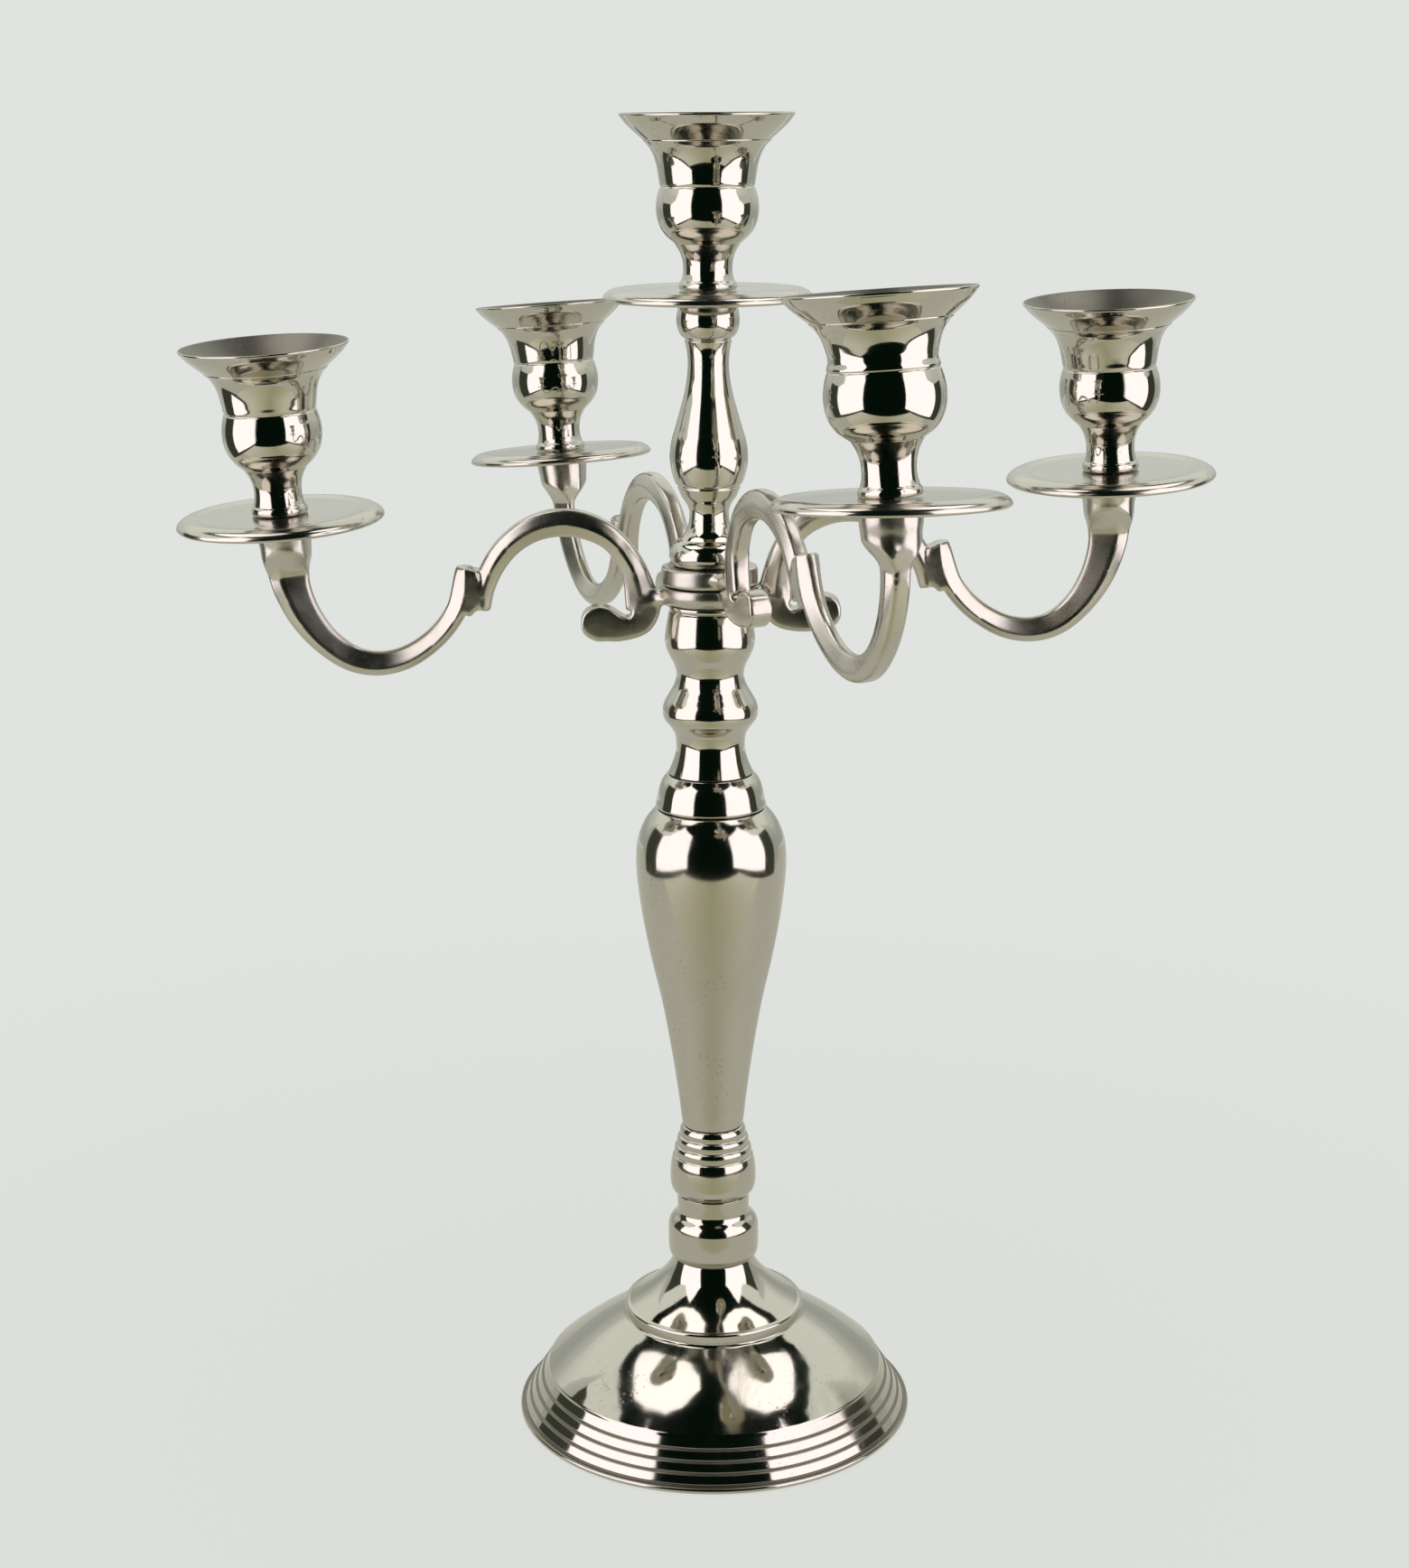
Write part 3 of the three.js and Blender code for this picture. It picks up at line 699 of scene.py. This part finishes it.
def nickel(name, gloss=0.07, wave=1.0, pits=1.0, stains=0.3, turning=1.0, grain=1.0, satin=None,
           hollow=False, grooves=False):
    """Nickel plate over cast metal: wavy mirror, turning lines, pits, stains, and satin where worn.

    satin is (height where the polish is gone, height where it is whole), in metres, or None. A
    hollow piece is duller and darker on its inside. A grooved one gets painted shade in the
    grooves of the foot's edge, which are darkened and made rougher.
    """
    s = Shader(name)
    polar, height = s.around()
    cloud = s.noise(s.coords, 60.0, 4.0, 0.6)
    fine = s.noise(s.coords, 900.0, 2.0, 0.5)
    lines = s.noise(s.scaled(polar, 0.4, 1400.0, 1400.0), 1.0, 2.0, 0.6)
    stain = s.ramp(s.noise(s.coords, 34.0, 5.0, 0.65, 0.6), 0.56, 0.72)
    pit_zone = s.ramp(s.noise(s.coords, 45.0, 2.0, 0.5), 0.52, 0.66)
    pit = s.math("MULTIPLY", s.spots(s.coords, 520.0, 0.30), pit_zone)
    dull = s.math("MULTIPLY", stain, stains)
    rough = s.ramp(cloud, 0.3, 0.75, gloss * 0.8, gloss * 1.7)
    rough = s.math("ADD", rough, s.math("MULTIPLY", dull, STAIN_ROUGH))
    rough = s.math("ADD", rough, s.math("MULTIPLY", pit, PIT_ROUGH * pits))
    if satin is not None:
        gone, whole = satin
        ragged = s.math("ADD", height, s.ramp(cloud, 0.3, 0.7, -0.008, 0.008))
        worn = s.ramp(ragged, whole, gone)
        streak = s.noise(s.scaled(polar, 9.0, 60.0, 30.0), 1.0, 3.0, 0.6)
        added = s.math("MULTIPLY", worn, s.ramp(streak, 0.3, 0.7, *SATIN_ROUGH))
        rough = s.math("ADD", rough, added)
    tint = s.mix(s.math("MULTIPLY", dull, 0.6), NICKEL, NICKEL_DULL)
    # Painted shade: the grooves round the foot's edge are darkened and made rougher.
    if grooves:
        step = s.math("DIVIDE", s.math("SUBTRACT", height, GROOVE_START), GROOVE_STEP)
        away = s.math("ABSOLUTE", s.math("SUBTRACT", step, s.math("ROUND", step)))
        below = s.ramp(height, GROOVE_END + 0.0002, GROOVE_END)
        groove_shade = s.math("MULTIPLY", s.ramp(away, GROOVE_SHADE_EDGE, GROOVE_FULL_SHADE), below)
        tint = s.mix(s.math("MULTIPLY", groove_shade, 0.85), tint, PIT_GRIME_AND_GROOVE_SHADE)
        rough = s.math("ADD", rough, s.math("MULTIPLY", groove_shade, GROOVE_ROUGH))
    # The inside of a hollow piece is made darker and rougher.
    if hollow:
        inside = s.ramp(s.outwardness(), 0.0, -0.12)
        rough = s.math("ADD", rough, s.math("MULTIPLY", inside, HOLLOW_ROUGH))
        tint = s.mix(inside, tint, HOLLOW_INSIDE_TINT)
    s.put(s.bsdf.inputs["Roughness"], s.math("MINIMUM", rough, MOST_ROUGH))
    tint = s.mix(s.math("MULTIPLY", pit, 0.5 * pits, clamp=True), tint, PIT_GRIME_AND_GROOVE_SHADE)
    s.put(s.bsdf.inputs["Base Color"], tint)
    s.bsdf.inputs["Metallic"].default_value = 1.0
    normal = s.bump(s.noise(s.coords, 90.0, 0.0, 0.4), WAVE_DEPTH * wave)
    normal = s.bump(lines, LINE_DEPTH * turning, normal)
    pitted = s.math("SUBTRACT", fine, s.math("MULTIPLY", pit, PIT_SINK * pits))
    normal = s.bump(pitted, GRAIN_DEPTH * grain, normal)
    s.put(s.bsdf.inputs["Normal"], normal)
    return s.material


def steel(name):
    """Plain drawn steel for the hidden fixings."""
    s = Shader(name)
    polar, _ = s.around()
    lines = s.noise(s.scaled(polar, 0.5, 1200.0, 1200.0), 1.0, 3.0, 0.6)
    s.put(s.bsdf.inputs["Roughness"], s.ramp(lines, 0.3, 0.7, 0.3, 0.48))
    s.put(s.bsdf.inputs["Base Color"], s.mix(s.noise(s.coords, 80.0), STEEL_LIGHT, STEEL_DARK))
    s.bsdf.inputs["Metallic"].default_value = 1.0
    s.put(s.bsdf.inputs["Normal"], s.bump(lines, STEEL_LINE_DEPTH))
    return s.material


POLISHED = nickel("nickel_polished")
CUP_FINISH = nickel("nickel_cups", gloss=0.06, wave=0.8, stains=0.25, hollow=True)
PAN_FINISH = nickel("nickel_pans", gloss=0.13, wave=0.8, stains=0.4, turning=1.6)
ARM_FINISH = nickel("nickel_arms", gloss=0.20, wave=1.4, pits=0.3, turning=0.0, grain=0.0)
FOOT_FINISH = nickel("nickel_foot", gloss=0.06, wave=1.0, grooves=True, stains=0.8, pits=0.6)
VASE_FINISH = nickel("nickel_vase", gloss=0.08, wave=0.8, stains=0.4, pits=0.8,
                     satin=(0.158, 0.173))
STEEL_FINISH = steel("steel_fixings")


def finish(piece, material, body, node_name):
    """Gives a piece its material and its body, and hides the CAD node that it stands for."""
    piece.data.materials.clear()
    piece.data.materials.append(material)
    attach(piece, body)
    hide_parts(node_name)


for piece_name, runs, material, slot_name, body, node_name in (
    ("foot_casting", FOOT, FOOT_FINISH, "cast_nickel", "stem", "foot"),
    ("knob_turning", KNOB, POLISHED, "cast_nickel", "stem", "stem_knob"),
    ("barrel_turning", BARREL, POLISHED, "cast_nickel", "stem", "stem_barrel"),
    ("vase_turning", VASE, VASE_FINISH, "satin_nickel", "stem", "stem_vase"),
    ("collar_turning", COLLAR, POLISHED, "cast_nickel", "stem", "stem_collar"),
    ("baluster_turning", BALUSTER, POLISHED, "cast_nickel", "stem", "stem_baluster"),
    ("upper_stem_turning", UPPER_STEM, POLISHED, "cast_nickel", "top_stem", "upper_stem"),
):
    finish(turned(piece_name, runs), material, body, node_name)
for key in ("lower", "upper"):
    finish(arm_casting(key + "_arm_casting", CASTINGS[key]), ARM_FINISH,
           key + "_arm_pair", key + "_arms")


def cup_form(ring, rim, fullness):
    """The cup's profile with its ring and rim moved to these heights and its body made fuller."""
    runs = []
    for run in CUP:
        moved = []
        for r, z in run:
            if BODY_BOTTOM < z < BODY_TOP and r > SOCKET_RADIUS:
                r *= fullness
            if z > CUP_RING:
                z = ring + (z - CUP_RING) * (rim - ring) / (CUP_RIM - CUP_RING)
            elif z > 0:
                z *= ring / CUP_RING
            moved.append((r, z))
        runs.append(moved)
    return runs


def light(prefix, matrix, heading, reach, pan_edge, cup_scale):
    """The pan and cup of one light, standing at a reach along X of the given frame.

    Both are turned back by the frame's heading about their own axis, so that their boxes fit
    closely.
    """
    spin = Matrix.Rotation(-heading, 4, "Z")
    place = matrix @ Matrix.Translation((reach * MM, 0, pan_edge * MM))
    middle = Matrix.Translation((0, 0, PAN_THICKNESS * 0.5 * MM))
    tip = Matrix.Rotation(math.radians(PAN_ROLL.get(prefix, 0.0)), 4, "X")
    roll = middle @ tip @ middle.inverted()
    finish(turned(prefix + "_drip_pan", PAN, place @ roll @ spin), PAN_FINISH,
           prefix + "_light", prefix + "_pan")
    foot = Matrix.Translation((0, 0, (PAN_THICKNESS + FIT_GAP) * MM))
    cup_place = place @ foot @ spin @ Matrix.Scale(cup_scale, 4)
    cup = turned(prefix + "_candle_cup", cup_form(*CUP_FORMS[prefix]), cup_place)
    finish(cup, CUP_FINISH, prefix + "_light", prefix + "_cup")


light("centre", Matrix.Identity(4), 0.0, 0.0, CENTRE_PAN_EDGE, 1.0)
for prefix, key, side in (
    ("left", "lower", 0),
    ("right", "lower", 1),
    ("front", "upper", 0),
    ("back", "upper", 1),
):
    arm = CASTINGS[key]
    facing = casting_frame(arm) @ Matrix.Rotation(side * math.pi, 4, "Z")
    heading = math.radians(arm["heading"]) + side * math.pi
    light(prefix, facing, heading, arm["reach"][side], ARM_PAN_EDGE, CUP_SCALE_ON_ARMS)

# The fixings are the only CAD nodes that still show.
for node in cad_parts.values():
    if not node.hide_render:
        node.data.materials.clear()
        node.data.materials.append(STEEL_FINISH)

# ---------------------------------------------------------------- room


def stage_sheet(name, corners, paint):
    """A flat staged sheet, unseen by the camera, that glows as `paint` says."""
    mesh = bpy.data.meshes.new(name)
    mesh.from_pydata([Vector(c) for c in corners], [], [tuple(range(len(corners)))])
    obj = bpy.data.objects.new(name, mesh)
    bpy.context.scene.collection.objects.link(obj)
    obj.visible_camera = False
    glow = Shader(name)
    emission = glow.node("ShaderNodeEmission")
    glow.tree.links.new(emission.outputs[0], glow.out.inputs["Surface"])
    glow.put(emission.inputs["Color"], paint(glow) if callable(paint) else paint)
    mesh.materials.append(glow.material)


def wall(name, x0, y0, x1, y1, z0, z1, paint):
    """An upright staged sheet between two points of the floor plan."""
    stage_sheet(name, [(x0, y0, z0), (x1, y1, z0), (x1, y1, z1), (x0, y0, z1)], paint)


def cover(name, x, y0, y1, z, paint):
    """A level staged sheet from -x to x and from y0 to y1."""
    stage_sheet(name, [(-x, y0, z), (x, y0, z), (x, y1, z), (-x, y1, z)], paint)


# Two tall light boxes stand left and right of the viewer, with a lit patch of ceiling above each.
# The room between them is dark, and their back edges are dark frames. Behind the object is a pale
# room. Pairs are (from, to) along Y, outlines are (Y, Z) or (X, Y), all in metres.
PANEL_X = 0.56
PANEL_FRONT_LEFT = -0.74
PANEL_FRONT_RIGHT = -0.86
PANEL_TOP = 1.02
PANEL_STEP = [(-0.01, 0.42), (-0.13, 0.50), (-0.22, 1.02)]
PANEL_BOTTOM = 0.045
FRAME_LEFT = (0.0, 0.29)
FRAME_RIGHT = (-0.02, 0.205)
FRAME_TOP = 0.43
ROOF_HEIGHT = 1.08
ROOF_PATCH = [
    (0.13, -0.03), (0.13, -0.15), (0.28, -0.235), (0.44, -0.24), (0.62, -0.13), (0.72, 0.0),
    (0.75, 0.22), (0.72, 0.46), (0.48, 0.23), (0.22, 0.055),
]
DARK_ROOF_HEIGHT = 1.11
DARK_ROOF = [
    (-0.75, -0.95), (0.75, -0.95), (0.92, 0.1), (0.96, 0.5), (0.84, 0.68), (0.3, 0.3), (-0.3, 0.3),
    (-0.84, 0.68), (-0.96, 0.5), (-0.92, 0.1),
]
BACK_LINE = [(-0.56, 0.29), (-1.35, 1.15), (1.35, 1.15), (0.56, 0.205)]
BACK_LOW_HEIGHT = 0.25
BACK_TOP = 0.55
DARK_FRONT = (-0.45, -0.62, 0.39, -0.62)
DARK_FRONT_TOP = 1.12
DARK_FLOOR_HALF = 0.75
DARK_FLOOR_START = -1.1
DARK_FLOOR_LEVEL = 0.0006
TABLE_LEVEL = 0.0004
TABLE_FRONT = -0.62
TABLE_MIDDLE = -0.13
TABLE_BACK = 0.9
TABLE_FRONT_HALF = 0.56
TABLE_BACK_HALF = 1.0

# What each sheet glows.
BACKDROP = (0.745, 0.768, 0.740, 1.0)
BACK_LOW = (0.50, 0.525, 0.50, 1.0)
BACK_TABLE = (0.62, 0.62, 0.56, 1.0)
FRONT_TABLE = (0.50, 0.49, 0.34, 1.0)
SIDE_TABLE = (0.80, 0.78, 0.67, 1.0)
PANEL_GLOW = (1.98, 1.82, 2.00, 1.0)
ROOF_GLOW = (2.05, 1.92, 2.00, 1.0)
DARK_ROOM = (0.002, 0.007, 0.004, 1.0)
DARK_FRAME = (0.060, 0.066, 0.048, 1.0)
RAIL = (0.045, 0.05, 0.035, 1.0)


def table_paint(glow):
    """The front of the table, darkest and warmest straight in front of the stem."""
    split = glow.node("ShaderNodeSeparateXYZ")
    glow.put(split.inputs[0], glow.coords)
    across = glow.math("ABSOLUTE", split.outputs[0])
    return glow.mix(glow.ramp(across, 0.02, 0.42), FRONT_TABLE, SIDE_TABLE)


def back_paint(glow):
    """The room behind the object, dimmer near the table."""
    split = glow.node("ShaderNodeSeparateXYZ")
    glow.put(split.inputs[0], glow.coords)
    return glow.mix(glow.ramp(split.outputs[2], BACK_LOW_HEIGHT, BACK_TOP), BACK_LOW, BACKDROP)


for sign, front, (frame_start, frame_end) in (
    (-1, PANEL_FRONT_LEFT, FRAME_LEFT),
    (1, PANEL_FRONT_RIGHT, FRAME_RIGHT),
):
    x = sign * PANEL_X
    side_name = "left" if sign < 0 else "right"
    outline = [(front, PANEL_BOTTOM), (frame_start, PANEL_BOTTOM), *PANEL_STEP, (front, PANEL_TOP)]
    stage_sheet("panel_" + side_name, [(x, py, pz) for py, pz in outline], PANEL_GLOW)
    wall("rail_" + side_name, x, front, x, frame_start, 0.0, PANEL_BOTTOM, RAIL)
    wall("frame_" + side_name, x, frame_start, x, frame_end, 0.0, FRAME_TOP, DARK_FRAME)
    patch = [(sign * px, py, ROOF_HEIGHT) for px, py in ROOF_PATCH]
    stage_sheet("roof_" + side_name, patch, ROOF_GLOW)
for i, (start, end) in enumerate(zip(BACK_LINE, BACK_LINE[1:])):
    wall(f"back_{i}", *start, *end, 0.0, BACK_TOP, back_paint)
wall("front_dark", *DARK_FRONT, 0.0, DARK_FRONT_TOP, DARK_ROOM)
cover("floor_dark", DARK_FLOOR_HALF, DARK_FLOOR_START, TABLE_FRONT, DARK_FLOOR_LEVEL, DARK_ROOM)
stage_sheet("roof_dark", [(px, py, DARK_ROOF_HEIGHT) for px, py in DARK_ROOF], DARK_ROOM)
cover("table_back", TABLE_BACK_HALF, TABLE_MIDDLE, TABLE_BACK, TABLE_LEVEL, BACK_TABLE)
cover("table_front", TABLE_FRONT_HALF, TABLE_FRONT, TABLE_MIDDLE, TABLE_LEVEL, table_paint)

# The floor glows as the backdrop does, fully from FADE_END on, so that no horizon shows.
FLOOR_RADIUS = 3.0
FLOOR_SIDES = 96
FLOOR_LEVEL = -0.0002
FLOOR_LIGHT = (0.90, 0.92, 0.90, 1.0)
FLOOR_DARK = (0.85, 0.88, 0.85, 1.0)
FLOOR_ROUGH = 0.6
NEAR_GLOW = 0.82
FADE_START = 0.12
FADE_END = 0.60
floor_mesh = bpy.data.meshes.new("floor")
floor_points = []
for k in range(FLOOR_SIDES):
    a = 2 * math.pi * k / FLOOR_SIDES
    floor_points.append((FLOOR_RADIUS * math.cos(a), FLOOR_RADIUS * math.sin(a), FLOOR_LEVEL))
floor_mesh.from_pydata(floor_points, [], [tuple(range(FLOOR_SIDES))])
floor = bpy.data.objects.new("floor", floor_mesh)
bpy.context.scene.collection.objects.link(floor)
floor_shader = Shader("pale_floor")
grain = floor_shader.noise(floor_shader.coords, 240.0, 3.0, 0.6)
floor_tint = floor_shader.mix(grain, FLOOR_LIGHT, FLOOR_DARK)
floor_shader.put(floor_shader.bsdf.inputs["Base Color"], floor_tint)
floor_shader.bsdf.inputs["Roughness"].default_value = FLOOR_ROUGH
far = floor_shader.node("ShaderNodeEmission")
far.inputs["Color"].default_value = BACKDROP
spread = floor_shader.node("ShaderNodeVectorMath", operation="LENGTH")
floor_shader.put(spread.inputs[0], floor_shader.coords)
fade = floor_shader.node("ShaderNodeMixShader")
glow_share = floor_shader.ramp(spread.outputs["Value"], FADE_START, FADE_END, NEAR_GLOW, 1.0)
floor_shader.put(fade.inputs[0], glow_share)
floor_shader.tree.links.new(floor_shader.bsdf.outputs[0], fade.inputs[1])
floor_shader.tree.links.new(far.outputs[0], fade.inputs[2])
floor_shader.tree.links.new(fade.outputs[0], floor_shader.out.inputs["Surface"])
floor_mesh.materials.append(floor_shader.material)

# The room gets brighter upwards: between the first two numbers, sines of the elevation, its
# strength goes from the third to the fourth.
SKY_RISE = (0.28, 0.45, 1.0, 1.34)
world = bpy.data.worlds.new("studio")
world.use_nodes = True
background = world.node_tree.nodes["Background"]
background.inputs["Color"].default_value = BACKDROP
background.inputs["Strength"].default_value = 1.0
sky_coords = world.node_tree.nodes.new("ShaderNodeTexCoord")
sky_split = world.node_tree.nodes.new("ShaderNodeSeparateXYZ")
sky_rise = world.node_tree.nodes.new("ShaderNodeMapRange")
for socket, value in zip(("From Min", "From Max", "To Min", "To Max"), SKY_RISE):
    sky_rise.inputs[socket].default_value = value
world.node_tree.links.new(sky_coords.outputs["Generated"], sky_split.inputs[0])
world.node_tree.links.new(sky_split.outputs[2], sky_rise.inputs["Value"])
world.node_tree.links.new(sky_rise.outputs["Result"], background.inputs["Strength"])
bpy.context.scene.world = world

# ---------------------------------------------------------------- camera

CAMERA_PLACE = (-0.0019, -0.7796, 0.4044)
CAMERA_PITCH = 75.54
CAMERA_ROLL = -0.37
CAMERA_LENS = 61.24

camera_data = bpy.data.cameras.new("camera")
camera_data.sensor_fit = "VERTICAL"
camera_data.sensor_height = 36.0
camera_data.lens = CAMERA_LENS
camera_data.clip_start = 0.01
camera = bpy.data.objects.new("camera", camera_data)
bpy.context.scene.collection.objects.link(camera)
camera.matrix_world = (
    Matrix.Translation(CAMERA_PLACE)
    @ Matrix.Rotation(math.radians(CAMERA_PITCH), 4, "X")
    @ Matrix.Rotation(math.radians(CAMERA_ROLL), 4, "Z")
)
bpy.context.scene.camera = camera
bpy.context.scene.view_settings.view_transform = "Standard"
